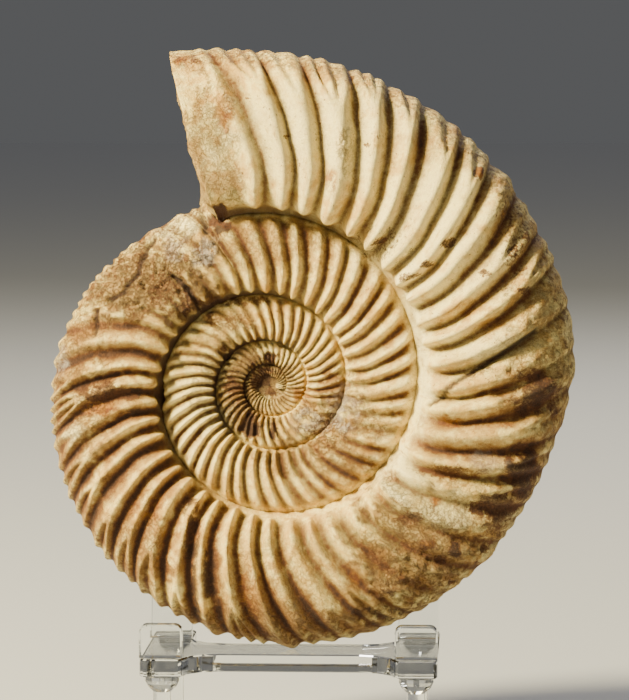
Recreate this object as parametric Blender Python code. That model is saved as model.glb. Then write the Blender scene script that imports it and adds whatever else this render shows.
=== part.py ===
"""A fossil ammonite standing on edge in a clear display stand.

Metres, +Z up. The shell's front face looks towards -Y and leans back a little.
"""

import math

import bmesh
import bpy
import numpy as np
from mathutils import Matrix, Vector

# The coil. A turn is counted back from the broken mouth towards the middle.
MOUTH_RADIUS = 0.0832
SHRINK_PER_TURN = 0.5611
SHRINK_GAIN = 0.0286
MOUTH_ANGLE = math.radians(106.8)
TURNS = 3.7
# Each turn hides the outermost part of the turn inside it, up to this share of its radius.
SEAM_SHARE = 0.925
# Where the rim swells or sinks: turn, reach in turns, height.
RIM_SWELLS = (
    (0.10, 0.09, -0.0012),
    (0.30, 0.05, 0.0023),
    (0.56, 0.11, 0.0010),
    (0.97, 0.05, -0.0011),
)

# The section of a turn, from the seam (0) to the rim (1) of its height.
HALF_WIDTH_SHARE = 0.39
WIDEST_AT = 0.44
WALL_POWER = 2.0
RIM_POWER_OUT = 2.3
RIM_POWER_SIDE = 2.2

# The ribs. They start at the seam, sweep forward and fork on the outer half of the flank.
RIBS_PER_TURN = 45.2
RIBS_PER_TURN_LOSS = 1.35
FIRST_RIB = -0.5
RIB_HEIGHT_SHARE = 0.042
RIB_SWEEP = math.radians(10.0)
RIB_SWEEP_FROM = 0.22
RIB_SWEEP_POWER = 1.5
RIB_HOOK = math.radians(1.3)
RIB_HOOK_END = 0.44
FORK_FROM = 0.54
FORK_TO = 0.74
FORKED_HEIGHT = 0.44
RIB_FADE_AT_SEAM = 0.10
# Inner turns are covered before their ribs fork: the fork is gone between these turns.
FORKS_HIDDEN_FROM = 0.96
FORKS_HIDDEN_TO = 1.02

# The broken mouth. The lines of points turn from the ribs' slant to the lip's over the fan, and
# the ribs are low behind the lip.
LIP_SLANT = math.radians(4.8)
LIP_FAN_TURNS = 0.055
LIP_FADE_TURNS = 0.08
LIP_RIBS = 0.15
MOUTH_HOLLOW = 0.0020
MIDDLE_DEPTH_SHARE = 0.4

# How finely the shell is built: rows across a flank, then on over the rim.
FLANK_ROWS = (0.0, 0.16, 0.40, 0.70, 1.0)
RIM_ROWS = (0.5, 1.0)
# Lines of points for each rib, up to this turn.
LINES_PER_RIB = ((1.03, 4), (3.0, 3), (TURNS, 2))

# How the shell stands.
LEAN = math.radians(5.0)
YAW = math.radians(1.7)
COIL_OFFSET_X = -0.0056

# The stand: a flat clear plate on four legs, with low tabs in front and tall ones behind.
GAP = 0.0003
SHEET = 0.0042
LEG_HEIGHT = 0.0180
ARM_WIDTH = 0.0100
ARM_CENTRE = 0.02985
ARM_FRONT = -0.0165
ARM_BACK = 0.0300
BAR_FRONT = -0.0075
BAR_BACK = 0.0090
NOTCH_RADIUS = 0.0085
TAB_HEIGHT = 0.0078
REST_HEIGHT = 0.0420
REST_OFFSET = 0.0134
TAB_CORNER = 0.0017
EDGE_ROUND = 0.0003
CORNER_STEPS = 3
LEG_FRONT = -0.0118
LEG_BACK = 0.0255
LEG_HEAD_RADIUS = 0.0042
LEG_STEM_RADIUS = 0.0021
LEG_SIDES = 12
LEG_HEAD_STEPS = 3

PLATE_TOP = LEG_HEIGHT + GAP + SHEET

STONE_COLOUR = (0.62, 0.48, 0.31)
STONE_ROUGHNESS = 0.75
CLEAR_COLOUR = (0.86, 0.88, 0.87)
CLEAR_ROUGHNESS = 0.05
CLEAR_IOR = 1.49
# A crest or an edge that turns more than this is drawn sharp.
SHARP_ANGLE = math.radians(30.0)
MERGE_DISTANCE = 1e-6


def clear_scene():
    for obj in list(bpy.data.objects):
        bpy.data.objects.remove(obj, do_unlink=True)


def new_collection(name):
    collection = bpy.data.collections.new(name)
    bpy.context.scene.collection.children.link(collection)
    return collection


def new_material(name, colour, roughness, transmission=0.0):
    material = bpy.data.materials.new(name)
    material.use_nodes = True
    shader = material.node_tree.nodes["Principled BSDF"]
    shader.inputs["Base Color"].default_value = (*colour, 1.0)
    shader.inputs["Roughness"].default_value = roughness
    shader.inputs["Metallic"].default_value = 0.0
    shader.inputs["Transmission Weight"].default_value = transmission
    shader.inputs["IOR"].default_value = CLEAR_IOR
    return material


def add_object(name, mesh, collection, material, parent):
    obj = bpy.data.objects.new(name, mesh)
    collection.objects.link(obj)
    obj.data.materials.append(material)
    obj.parent = parent
    return obj


def shade_round(mesh):
    mesh.shade_smooth()
    mesh.set_sharp_from_angle(angle=SHARP_ANGLE)


def smooth(value, start, end):
    part = np.clip((value - start) / (end - start), 0.0, 1.0)
    return part * part * (3.0 - 2.0 * part)


# The coil's growth. Every function below takes numpy arrays of turns.


def rim_radius(turn):
    radius = MOUTH_RADIUS * np.exp(-SHRINK_PER_TURN * turn - SHRINK_GAIN * turn**2)
    for centre, reach, height in RIM_SWELLS:
        radius = radius + height * np.exp(-(((turn - centre) / reach) ** 2))
    return radius


def seam_radius(turn):
    return SEAM_SHARE * rim_radius(turn + 1.0)


def flank_height(turn):
    return rim_radius(turn) - seam_radius(turn)


def half_width(turn):
    return HALF_WIDTH_SHARE * flank_height(turn)


def covered_from(turn):
    """The share of a flank's height at which the next turn covers it."""
    return (seam_radius(turn - 1.0) - seam_radius(turn)) / flank_height(turn)


def rim_width(share):
    """The section's width beyond its widest place, as a share of the half width."""
    out = np.clip((share - WIDEST_AT) / (1.0 - WIDEST_AT), 0.0, 1.0)
    return (1.0 - out**RIM_POWER_OUT) ** (1.0 / RIM_POWER_SIDE)


def seam_width(turn):
    """The half width at the seam, where the wall meets the turn inside."""
    inside = half_width(turn + 1.0) * rim_width(covered_from(turn + 1.0))
    return inside / half_width(turn)


def section(turn, row):
    """The height share, width share and outward direction of one row of the section."""
    last_flank_row = len(FLANK_ROWS) - 1
    cover = covered_from(turn)
    if row <= last_flank_row:
        share = FLANK_ROWS[row] * cover
    else:
        reached = ((cover - WIDEST_AT) / (1.0 - WIDEST_AT)) ** (RIM_POWER_OUT / 2)
        angle = np.arcsin(reached)
        angle = angle + (math.pi / 2 - angle) * RIM_ROWS[row - last_flank_row - 1]
        share = WIDEST_AT + (1.0 - WIDEST_AT) * np.sin(angle) ** (2 / RIM_POWER_OUT)
    inner = np.clip((WIDEST_AT - share) / WIDEST_AT, 0.0, 1.0)
    outer = np.clip((share - WIDEST_AT) / (1.0 - WIDEST_AT), 0.0, 1.0)
    at_seam = seam_width(turn)
    on_wall = share < WIDEST_AT
    width = np.where(on_wall, 1.0 - (1.0 - at_seam) * inner**WALL_POWER, rim_width(share))
    wall_slope = -(1.0 - at_seam) * WALL_POWER * inner ** (WALL_POWER - 1.0) / WIDEST_AT
    rim_slope = RIM_POWER_OUT * outer ** (RIM_POWER_OUT - 1.0) / (1.0 - WIDEST_AT)
    rim_face = RIM_POWER_SIDE * width ** (RIM_POWER_SIDE - 1.0)
    outward = np.where(on_wall, wall_slope, rim_slope) / flank_height(turn)
    sideways = np.where(on_wall, 1.0, rim_face) / half_width(turn)
    length = np.hypot(outward, sideways)
    return share, width, outward / length, sideways / length


# The ribs.


def rib_number(turn):
    return FIRST_RIB + RIBS_PER_TURN * turn - RIBS_PER_TURN_LOSS * turn**2


def turn_of_rib(number):
    count = number - FIRST_RIB
    root = np.sqrt(RIBS_PER_TURN**2 - 4.0 * RIBS_PER_TURN_LOSS * count)
    return (RIBS_PER_TURN - root) / (2.0 * RIBS_PER_TURN_LOSS)


def rib_sweep(share):
    ahead = np.clip((share - RIB_SWEEP_FROM) / (1.0 - RIB_SWEEP_FROM), 0.0, 1.0)
    hook = np.sin(math.pi * np.clip(share / RIB_HOOK_END, 0.0, 1.0))
    return RIB_SWEEP * ahead**RIB_SWEEP_POWER - RIB_HOOK * hook


def growth_angle(turn, share):
    """The angle round the coil: along a rib, but along the slanting lip at the mouth."""
    swept = np.clip(turn / LIP_FAN_TURNS, 0.0, 1.0)
    lip = LIP_SLANT * (1.0 - share)
    return MOUTH_ANGLE - 2 * math.pi * turn + swept * rib_sweep(share) + (1.0 - swept) * lip


def rib_relief(turn, share):
    """How far the surface stands out, between the valleys (0) and the crests."""
    phase = 2 * math.pi * rib_number(turn)
    hidden = smooth(turn, FORKS_HIDDEN_FROM, FORKS_HIDDEN_TO)
    forked = smooth(share, FORK_FROM, FORK_TO) * (1.0 - hidden)
    single = 0.5 + 0.5 * np.cos(phase)
    double = FORKED_HEIGHT * (0.5 - 0.5 * np.cos(2 * phase))
    at_lip = LIP_RIBS + (1.0 - LIP_RIBS) * smooth(turn, 0.0, LIP_FADE_TURNS)
    strength = smooth(share, 0.0, RIB_FADE_AT_SEAM) * at_lip
    height = RIB_HEIGHT_SHARE * flank_height(turn)
    return height * strength * (single + forked * (double - single))


def growth_lines():
    """The turns at which the shell has a line of points: closest together on the last turn."""
    numbers = [FIRST_RIB]
    for end_turn, lines_per_rib in LINES_PER_RIB:
        last = math.floor(rib_number(end_turn))
        while numbers[-1] < last - 1e-6:
            numbers.append(numbers[-1] + 1.0 / lines_per_rib)
    return turn_of_rib(np.array(numbers))


def shell_points(turns):
    """Points of every growth line, from the front seam over the rim to the back seam."""
    half = len(FLANK_ROWS) + len(RIM_ROWS) - 1
    points = np.empty((len(turns), 2 * half + 1, 3))
    angles = np.empty((len(turns), half + 1))
    for row in range(half + 1):
        share, width, outward, sideways = section(turns, row)
        relief = rib_relief(turns, share)
        radius = seam_radius(turns) + share * flank_height(turns) + relief * outward
        depth = width * half_width(turns) + relief * sideways
        angles[:, row] = growth_angle(turns, share)
        if row == half:
            depth = depth * 0.0
        x = radius * np.cos(angles[:, row])
        z = radius * np.sin(angles[:, row])
        points[:, row] = np.stack([x, -depth, z], axis=1)
        points[:, 2 * half - row] = np.stack([x, depth, z], axis=1)
    return points, angles


def join_seams(points, angles, turns):
    """Puts each turn's seam on the line of the turn inside it, and the last ones on the middle."""
    cover_row = len(FLANK_ROWS) - 1
    last_row = points.shape[1] - 1
    depth = MIDDLE_DEPTH_SHARE * half_width(turns[-1])
    for line in range(len(turns)):
        wanted = angles[line, 0] - 2 * math.pi
        if wanted < angles[-1, cover_row]:
            points[line, 0] = (0.0, -depth, 0.0)
            points[line, last_row] = (0.0, depth, 0.0)
            continue
        below = int(np.argmin(np.abs(angles[:, cover_row] - wanted)))
        points[line, 0] = points[below, cover_row]
        points[line, last_row] = points[below, last_row - cover_row]
        if line == 0:
            mouth_line = below
    return mouth_line


def mouth_points(points, mouth_line):
    """The broken mouth: a lightly hollow face from the lip down to the turn below it."""
    cover_row = len(FLANK_ROWS) - 1
    rows = np.arange(points.shape[1])
    base_rows = np.clip(rows, cover_row, points.shape[1] - 1 - cover_row)
    base = points[mouth_line, base_rows]
    middle = (points[0] + base) / 2
    hollow = MOUTH_HOLLOW * np.sin(math.pi * rows / rows[-1])
    backward = np.array([math.sin(MOUTH_ANGLE), 0.0, -math.cos(MOUTH_ANGLE)])
    return np.stack([base, middle + hollow[:, None] * backward])


def ammonite_mesh():
    turns = growth_lines()
    points, angles = shell_points(turns)
    mouth_line = join_seams(points, angles, turns)
    mouth = mouth_points(points, mouth_line)
    points = np.concatenate([mouth, points])
    lines, rows = points.shape[:2]
    cover_row = len(FLANK_ROWS) - 1
    last_open_line = mouth_line + len(mouth)

    bm = bmesh.new()
    bmesh.ops.create_grid(bm, x_segments=lines - 1, y_segments=rows - 1, size=1.0)
    place = {}
    for vert in bm.verts:
        line = round((vert.co.x + 1.0) / 2 * (lines - 1))
        row = round((vert.co.y + 1.0) / 2 * (rows - 1))
        place[vert] = (line, row)
    covered = []
    for face in bm.faces:
        first_line = min(place[v][0] for v in face.verts)
        first_row = min(place[v][1] for v in face.verts)
        if first_line >= last_open_line and cover_row <= first_row < rows - 1 - cover_row:
            covered.append(face)
    for vert, (line, row) in place.items():
        vert.co = points[line, row]
    bmesh.ops.delete(bm, geom=covered, context="FACES")
    bmesh.ops.remove_doubles(bm, verts=bm.verts, dist=MERGE_DISTANCE)
    bmesh.ops.dissolve_degenerate(bm, edges=bm.edges, dist=MERGE_DISTANCE)
    bmesh.ops.holes_fill(bm, edges=[e for e in bm.edges if e.is_boundary], sides=0)
    bmesh.ops.triangulate(bm, faces=bm.faces)
    bmesh.ops.recalc_face_normals(bm, faces=bm.faces)
    mesh = bpy.data.meshes.new("ammonite")
    bm.to_mesh(mesh)
    bm.free()
    shade_round(mesh)
    return mesh


def stand_the_shell(obj):
    """Turns and leans the shell, then sets its lowest point just over the plate."""
    turned = Matrix.Rotation(-LEAN, 4, "X") @ Matrix.Rotation(-YAW, 4, "Z")
    lowest = min((turned @ vert.co).z for vert in obj.data.vertices)
    drop = PLATE_TOP + GAP - lowest
    # The rim meets the plate below the coil's middle, so the lean carries the middle back.
    back = -lowest * math.tan(LEAN)
    obj.rotation_euler = turned.to_euler()
    obj.location = Vector((COIL_OFFSET_X, back, drop))


# The stand.


def arc(centre_x, centre_y, radius, start, end, steps):
    points = []
    for step in range(steps + 1):
        angle = math.radians(start + (end - start) * step / steps)
        points.append((centre_x + radius * math.cos(angle), centre_y + radius * math.sin(angle)))
    return points


def sheet_mesh(name, outline):
    """A flat piece of the clear sheet, lying in XY and centred on Z, with eased edges."""
    curve = bpy.data.curves.new(name, "CURVE")
    curve.dimensions = "2D"
    curve.fill_mode = "BOTH"
    curve.extrude = SHEET / 2 - EDGE_ROUND
    curve.bevel_depth = EDGE_ROUND
    curve.bevel_resolution = 0
    curve.offset = -EDGE_ROUND
    spline = curve.splines.new("POLY")
    spline.points.add(len(outline) - 1)
    for point, (x, y) in zip(spline.points, outline):
        point.co = (x, y, 0.0, 1.0)
    spline.use_cyclic_u = True
    shape = bpy.data.objects.new(name, curve)
    bpy.context.scene.collection.objects.link(shape)
    graph = bpy.context.evaluated_depsgraph_get()
    mesh = bpy.data.meshes.new_from_object(shape.evaluated_get(graph))
    bpy.data.objects.remove(shape, do_unlink=True)
    bm = bmesh.new()
    bm.from_mesh(mesh)
    bmesh.ops.remove_doubles(bm, verts=bm.verts, dist=MERGE_DISTANCE)
    bmesh.ops.recalc_face_normals(bm, faces=bm.faces)
    bm.to_mesh(mesh)
    bm.free()
    mesh.name = name
    return mesh


def plate_outline():
    """An H seen from above: two arms, and a bar between them with rounded inner corners."""
    inner = ARM_CENTRE - ARM_WIDTH / 2
    outer = ARM_CENTRE + ARM_WIDTH / 2
    corner = TAB_CORNER
    r = NOTCH_RADIUS
    right = arc(outer - corner, ARM_FRONT + corner, corner, -90, 0, CORNER_STEPS)
    right += arc(outer - corner, ARM_BACK - corner, corner, 0, 90, CORNER_STEPS)
    right += arc(inner + corner, ARM_BACK - corner, corner, 90, 180, CORNER_STEPS)
    right += arc(inner - r, BAR_BACK + r, r, 0, -90, CORNER_STEPS)
    left = [(-x, y) for x, y in reversed(right)]
    front_right = arc(inner - r, BAR_FRONT - r, r, 90, 0, CORNER_STEPS)
    front_right += arc(inner + corner, ARM_FRONT + corner, corner, 180, 270, CORNER_STEPS)
    front_left = [(-x, y) for x, y in reversed(front_right)]
    return right + left + front_left + front_right


def tab_outline(height):
    """A tab as wide as an arm, with its foot at y = 0 and round top corners."""
    half = ARM_WIDTH / 2
    points = [(-half, 0.0), (half, 0.0)]
    points += arc(half - TAB_CORNER, height - TAB_CORNER, TAB_CORNER, 0, 90, CORNER_STEPS)
    points += arc(-half + TAB_CORNER, height - TAB_CORNER, TAB_CORNER, 90, 180, CORNER_STEPS)
    return points


def leg_mesh(name):
    """A turned leg: a bowl-shaped head that narrows to a straight stem."""
    drop = math.sqrt(LEG_HEAD_RADIUS**2 - LEG_STEM_RADIUS**2)
    profile = [(0.0, LEG_HEIGHT)]
    for step in range(LEG_HEAD_STEPS + 1):
        below = drop * step / LEG_HEAD_STEPS
        profile.append((math.sqrt(LEG_HEAD_RADIUS**2 - below**2), LEG_HEIGHT - below))
    profile += [(LEG_STEM_RADIUS, 0.0), (0.0, 0.0)]
    bm = bmesh.new()
    verts = [bm.verts.new((x, 0.0, z)) for x, z in profile]
    for first, second in zip(verts, verts[1:]):
        bm.edges.new((first, second))
    bmesh.ops.spin(
        bm,
        geom=bm.verts[:] + bm.edges[:],
        cent=(0.0, 0.0, 0.0),
        axis=(0.0, 0.0, 1.0),
        angle=2 * math.pi,
        steps=LEG_SIDES,
        use_merge=True,
    )
    bmesh.ops.remove_doubles(bm, verts=bm.verts, dist=MERGE_DISTANCE)
    bmesh.ops.recalc_face_normals(bm, faces=bm.faces)
    mesh = bpy.data.meshes.new(name)
    bm.to_mesh(mesh)
    bm.free()
    shade_round(mesh)
    return mesh


def add_stand(collection, parent):
    material_of = {}
    for piece in ("plate", "tab", "rest", "leg"):
        material_of[piece] = new_material(f"clear_{piece}", CLEAR_COLOUR, CLEAR_ROUGHNESS, 1.0)

    plate = sheet_mesh("stand_plate", plate_outline())
    obj = add_object("stand_plate", plate, collection, material_of["plate"], parent)
    obj.location.z = PLATE_TOP - SHEET / 2

    upright = math.pi / 2
    tab = sheet_mesh("front_tab", tab_outline(TAB_HEIGHT))
    rest = sheet_mesh("back_rest", tab_outline(REST_HEIGHT))
    leg = leg_mesh("leg")
    foot_lift = SHEET / 2 * math.sin(LEAN)
    for side, sign in (("left", -1), ("right", 1)):
        x = sign * ARM_CENTRE
        obj = add_object(f"front_{side}_tab", tab, collection, material_of["tab"], parent)
        obj.rotation_euler.x = upright
        obj.location = (x, ARM_FRONT + SHEET / 2, PLATE_TOP + GAP)
        obj = add_object(f"back_{side}_rest", rest, collection, material_of["rest"], parent)
        obj.rotation_euler.x = upright - LEAN
        obj.location = (x, REST_OFFSET + SHEET / 2, PLATE_TOP + GAP + foot_lift)
        for end, y in (("front", LEG_FRONT), ("back", LEG_BACK)):
            obj = add_object(f"{end}_{side}_leg", leg, collection, material_of["leg"], parent)
            obj.location = (x, y, 0.0)


def centre_over_origin(objects, parent):
    """Moves everything so that the origin is under the middle of the whole object."""
    bpy.context.view_layer.update()
    corners = []
    for obj in objects:
        corners += [obj.matrix_world @ vert.co for vert in obj.data.vertices]
    for axis in range(2):
        low = min(corner[axis] for corner in corners)
        high = max(corner[axis] for corner in corners)
        parent.location[axis] = -(low + high) / 2


def main():
    clear_scene()
    collection = new_collection("fossil_ammonite")
    root = bpy.data.objects.new("stand_base", None)
    collection.objects.link(root)
    stone = new_material("fossil_stone", STONE_COLOUR, STONE_ROUGHNESS)
    shell = add_object("ammonite", ammonite_mesh(), collection, stone, root)
    stand_the_shell(shell)
    add_stand(collection, root)
    centre_over_origin([obj for obj in collection.objects if obj.type == "MESH"], root)


main()
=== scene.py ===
# %% [markdown]
# # A ribbed ammonite fossil in a clear stand
#
# The real thing is a shell that coiled in one plane and turned to stone, about 145 mm across.
# It stands on edge in a small stand of clear acrylic. This lesson builds its looks around a
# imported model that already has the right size, and it changes no dimension of it. Metres, +Z up,
# the front looks towards -Y.

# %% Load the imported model
import math

import bmesh
import bpy
import numpy as np
from mathutils import Matrix, Vector, noise


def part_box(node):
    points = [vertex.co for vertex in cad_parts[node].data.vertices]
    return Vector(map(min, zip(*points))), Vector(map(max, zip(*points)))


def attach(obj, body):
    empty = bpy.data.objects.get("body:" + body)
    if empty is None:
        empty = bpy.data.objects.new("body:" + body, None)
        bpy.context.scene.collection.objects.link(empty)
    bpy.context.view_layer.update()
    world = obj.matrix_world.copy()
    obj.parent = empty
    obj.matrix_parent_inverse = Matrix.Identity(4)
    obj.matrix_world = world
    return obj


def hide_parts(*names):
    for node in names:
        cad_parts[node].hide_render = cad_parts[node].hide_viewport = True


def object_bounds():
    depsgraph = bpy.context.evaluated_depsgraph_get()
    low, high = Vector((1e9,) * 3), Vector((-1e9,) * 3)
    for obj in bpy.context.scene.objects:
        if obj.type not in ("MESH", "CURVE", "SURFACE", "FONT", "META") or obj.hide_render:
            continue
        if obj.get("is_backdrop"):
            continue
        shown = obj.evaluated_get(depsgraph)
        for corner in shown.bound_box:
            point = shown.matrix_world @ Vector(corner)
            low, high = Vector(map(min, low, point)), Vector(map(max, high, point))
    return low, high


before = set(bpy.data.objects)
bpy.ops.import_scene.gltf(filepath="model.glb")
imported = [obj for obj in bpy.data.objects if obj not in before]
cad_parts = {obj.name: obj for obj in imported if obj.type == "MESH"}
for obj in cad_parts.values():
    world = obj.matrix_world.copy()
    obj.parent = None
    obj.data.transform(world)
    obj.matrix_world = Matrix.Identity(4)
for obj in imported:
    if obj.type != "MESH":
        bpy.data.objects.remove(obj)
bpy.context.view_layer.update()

shell_low, shell_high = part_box("ammonite")
print("nodes:", sorted(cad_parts))

# %% [markdown]
# ## The camera
#
# The photograph was taken from a little above and from almost straight in front, with a long
# lens. One pixel of it is 0.238 mm at the shell. A long lens is set by choosing the distance
# first, and then the focal length that shows the same width there.

# %% The camera
MM = 0.001
PIXEL = 0.2377 * MM
IMAGE_WIDTH, IMAGE_HEIGHT = 629, 700
COIL_PIXEL = (269.1, 389.2)
CAMERA_AZIMUTH = math.radians(2.7)
CAMERA_ELEVATION = math.radians(4.5)
CAMERA_DISTANCE = 0.9
SENSOR = 36.0

coil_middle = Vector((-10.11, -1.39, 84.08)) * MM
camera_right = Vector((math.cos(CAMERA_AZIMUTH), math.sin(CAMERA_AZIMUTH), 0.0))
camera_back = Vector((
    math.sin(CAMERA_AZIMUTH) * math.cos(CAMERA_ELEVATION),
    -math.cos(CAMERA_AZIMUTH) * math.cos(CAMERA_ELEVATION),
    math.sin(CAMERA_ELEVATION),
))
camera_up = camera_back.cross(camera_right)
aim = (
    coil_middle
    + camera_right * (IMAGE_WIDTH / 2 - COIL_PIXEL[0]) * PIXEL
    + camera_up * (COIL_PIXEL[1] - IMAGE_HEIGHT / 2) * PIXEL
)

camera_data = bpy.data.cameras.new("camera")
camera_data.sensor_width = SENSOR
camera_data.sensor_fit = "HORIZONTAL"
camera_data.lens = SENSOR * CAMERA_DISTANCE / (IMAGE_WIDTH * PIXEL)
camera = bpy.data.objects.new("camera", camera_data)
bpy.context.scene.collection.objects.link(camera)
camera.location = aim + camera_back * CAMERA_DISTANCE
camera.rotation_euler = (-camera_back).to_track_quat("-Z", "Y").to_euler()
bpy.context.scene.camera = camera
print("lens", round(camera_data.lens, 1), "mm")

# %% [markdown]
# ## Floor and light
#
# Relief shows when light rakes across it, so the main light stands high on the left and only a
# little in front of the shell. It is warm, as in the photograph. A weak light from the right keeps
# the shadows open, and one from behind draws the edges of the stand. The floor is a plain pale
# disc. The sky above it gets brighter with height, and starts with the far floor's own tone, so
# no horizon line is seen behind the shell.

# %% Floor
FLOOR_RADIUS = 6.0
FLOOR_COLOUR = (0.44, 0.45, 0.475)
HORIZON_COLOUR = (0.100, 0.102, 0.105)
ZENITH_COLOUR = (0.212, 0.212, 0.212)


def plain_material(name, colour, roughness):
    material = bpy.data.materials.new(name)
    material.use_nodes = True
    shader = material.node_tree.nodes["Principled BSDF"]
    shader.inputs["Base Color"].default_value = (*colour, 1.0)
    shader.inputs["Roughness"].default_value = roughness
    return material


def new_piece(name, bm):
    """Turns a bmesh into an object at the origin."""
    mesh = bpy.data.meshes.new(name)
    bm.to_mesh(mesh)
    bm.free()
    piece = bpy.data.objects.new(name, mesh)
    bpy.context.scene.collection.objects.link(piece)
    return piece


bm = bmesh.new()
bmesh.ops.create_circle(bm, cap_ends=True, radius=FLOOR_RADIUS, segments=96)
floor = new_piece("floor", bm)
floor.data.materials.append(plain_material("floor_grey", FLOOR_COLOUR, 0.85))
floor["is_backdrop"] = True

# %% Sky
SKY_BLEND_END = 0.7

world = bpy.data.worlds.new("studio")
bpy.context.scene.world = world
world.use_nodes = True
tree = world.node_tree
sky_way = tree.nodes.new("ShaderNodeTexCoord")
split = tree.nodes.new("ShaderNodeSeparateXYZ")
height = tree.nodes.new("ShaderNodeMapRange")
height.interpolation_type = "SMOOTHSTEP"
height.inputs["From Min"].default_value = 0.0
height.inputs["From Max"].default_value = SKY_BLEND_END
sky = tree.nodes.new("ShaderNodeMix")
sky.data_type = "RGBA"
sky.inputs["A"].default_value = (*HORIZON_COLOUR, 1.0)
sky.inputs["B"].default_value = (*ZENITH_COLOUR, 1.0)
tree.links.new(sky_way.outputs["Generated"], split.inputs[0])
tree.links.new(split.outputs["Z"], height.inputs["Value"])
tree.links.new(height.outputs["Result"], sky.inputs["Factor"])
tree.links.new(sky.outputs["Result"], tree.nodes["Background"].inputs["Color"])

# %% Lights


def add_light(name, direction, distance, size, power, colour):
    """A round area light that looks at the shell: direction is right, towards us and up."""
    right, back, up = direction
    way = (camera_right * right + camera_back * back + camera_up * up).normalized()
    data = bpy.data.lights.new(name, "AREA")
    data.shape = "DISK"
    data.size = size
    data.energy = power
    data.color = colour
    light = bpy.data.objects.new(name, data)
    bpy.context.scene.collection.objects.link(light)
    light.location = coil_middle + way * distance
    light.rotation_euler = (-way).to_track_quat("-Z", "Y").to_euler()


add_light("key", (-0.72, 0.44, 0.60), 1.1, 0.26, 60.0, (1.0, 0.86, 0.50))
add_light("fill", (0.9, 0.8, 0.2), 1.4, 0.9, 1.0, (1.0, 0.95, 0.88))
add_light("back", (0.3, -0.9, 0.9), 1.3, 0.5, 9.0, (1.0, 0.95, 0.88))

# %% [markdown]
# ## How the coil grows
#
# An ammonite adds to its mouth all its life, so one rule gives every turn: each full turn further
# in, the radius is a fixed share smaller. Here a turn is counted back from the broken mouth, where
# it is 0. The mouth, the ribs and the seam between two turns are all given by it. The same rule
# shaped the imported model, so the new surface lies on it.

# %% The coil's rule
MOUTH_RADIUS = 83.2 * MM
SHRINK_PER_TURN = 0.5611
SHRINK_GAIN = 0.0286
SEAM_SHARE = 0.925
# The mouth's foot reaches further down over the turn inside: share, reach in turns.
FOOT_REACH = (0.026, 0.07)
# Where the rim swells or sinks: turn, reach in turns, height.
RIM_SWELLS = (
    (0.10, 0.09, -1.2 * MM),
    (0.30, 0.05, 2.3 * MM),
    (0.56, 0.11, 1.0 * MM),
    (0.97, 0.05, -1.1 * MM),
)


def smooth(value, start, end):
    part = np.clip((value - start) / (end - start), 0.0, 1.0)
    return part * part * (3.0 - 2.0 * part)


def rim_radius(turn):
    radius = MOUTH_RADIUS * np.exp(-SHRINK_PER_TURN * turn - SHRINK_GAIN * turn**2)
    for centre, reach, height in RIM_SWELLS:
        radius = radius + height * np.exp(-(((turn - centre) / reach) ** 2))
    return radius


def seam_radius(turn):
    foot = FOOT_REACH[0] * np.exp(-((turn / FOOT_REACH[1]) ** 2))
    return (SEAM_SHARE - foot) * rim_radius(turn + 1.0)


def flank_height(turn):
    return rim_radius(turn) - seam_radius(turn)


for turn in (0.0, 1.0, 2.0, 3.0):
    rim, seam = rim_radius(turn) / MM, seam_radius(turn) / MM
    print("turn", turn, "rim", round(rim, 1), "mm, seam", round(seam, 1), "mm")

# %% [markdown]
# ## The section across a turn
#
# Cut across, a turn of this shell is a tall, slim arch. It is widest below the middle of the
# flank. From there a wall runs down to the seam, and a rounder curve leads over the rim. The
# function also says which way the surface looks, because the ribs are pushed out along it.

# %% The section
HALF_WIDTH_SHARE = 0.39
WIDEST_AT = 0.44
WALL_POWER = 2.0
RIM_POWER_OUT = 2.3
RIM_POWER_SIDE = 2.2


def half_width(turn):
    return HALF_WIDTH_SHARE * flank_height(turn)


def covered_from(turn):
    """The share of a flank's height at which the next turn covers it."""
    return (seam_radius(turn - 1.0) - seam_radius(turn)) / flank_height(turn)


def rim_width(share):
    """The section's width beyond its widest place, as a share of the half width."""
    out = np.clip((share - WIDEST_AT) / (1.0 - WIDEST_AT), 0.0, 1.0)
    return (1.0 - out**RIM_POWER_OUT) ** (1.0 / RIM_POWER_SIDE)


def section(turn, share):
    """The width share at a height share, and which way the surface looks there."""
    inside = half_width(turn + 1.0) * rim_width(covered_from(turn + 1.0))
    at_seam = inside / half_width(turn)
    inner = np.clip((WIDEST_AT - share) / WIDEST_AT, 0.0, 1.0)
    outer = np.clip((share - WIDEST_AT) / (1.0 - WIDEST_AT), 0.0, 1.0)
    on_wall = share < WIDEST_AT
    width = np.where(on_wall, 1.0 - (1.0 - at_seam) * inner**WALL_POWER, rim_width(share))
    wall_slope = -(1.0 - at_seam) * WALL_POWER * inner ** (WALL_POWER - 1.0) / WIDEST_AT
    rim_slope = RIM_POWER_OUT * outer ** (RIM_POWER_OUT - 1.0) / (1.0 - WIDEST_AT)
    rim_face = RIM_POWER_SIDE * width ** (RIM_POWER_SIDE - 1.0)
    outward = np.where(on_wall, wall_slope, rim_slope) / flank_height(turn)
    sideways = np.where(on_wall, 1.0, rim_face) / half_width(turn)
    length = np.hypot(outward, sideways)
    return width, outward / length, sideways / length


print("width at the mouth:", round(2 * half_width(0.0) / MM, 1), "mm")

# %% [markdown]
# ## The ribs
#
# Ribs start at the seam, lean forward, and most of them part on the outer half of the flank. They
# could be modelled one by one, but there are more than 150 of them. Here a phase counts the ribs
# from the mouth on, and a rib is a wave across it. The count isn't quite even, so a short table
# lets it run ahead or fall back.

# %% Counting the ribs
RIBS_PER_TURN = 45.2
RIBS_PER_TURN_LOSS = 1.35
FIRST_RIB = -0.5
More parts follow.
